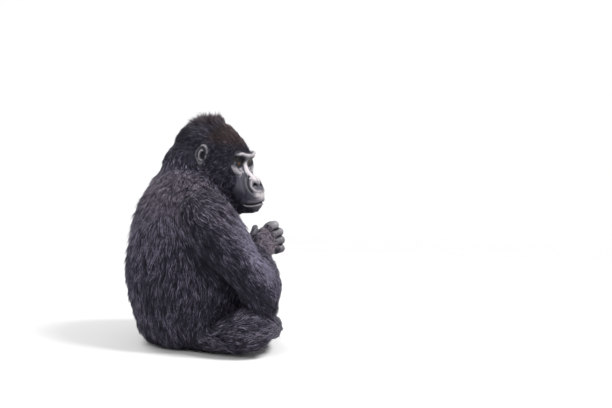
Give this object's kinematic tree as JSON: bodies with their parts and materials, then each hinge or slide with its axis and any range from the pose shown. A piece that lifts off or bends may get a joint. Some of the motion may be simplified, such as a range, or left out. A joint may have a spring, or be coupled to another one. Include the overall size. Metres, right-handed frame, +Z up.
{
  "type": "gorilla, still model",
  "caption": "Life-size seated mountain gorilla, legs crossed, head turned over its right shoulder, one hand held to the chest",
  "frame": {"origin": "on the floor, under the middle of the animal's bounding box", "axes": "+Z up; the trunk faces -Y, the animal's right side is -X; the knees are the widest points, along X"},
  "size_m": [0.8144, 0.516, 0.7548],
  "materials": {
    "coat": "long black hair with a blue-grey sheen",
    "bare_skin": "wrinkled dark grey skin",
    "eye": "wet brown"
  },
  "bodies": {
    "root": {"eye_right": "eye", "eye_left": "eye", "head": "coat", "ear_right": "bare_skin", "ear_left": "bare_skin", "trunk": "coat", "neck": "coat", "thigh_right": "coat", "shin_right": "coat", "foot_right": "bare_skin", "thigh_left": "coat", "shin_left": "coat", "foot_left": "bare_skin", "upper_arm_right": "coat", "forearm_right": "coat", "hand_right": "bare_skin", "upper_arm_left": "coat", "forearm_left": "coat", "hand_left": "bare_skin"}
  },
  "joints": []
}
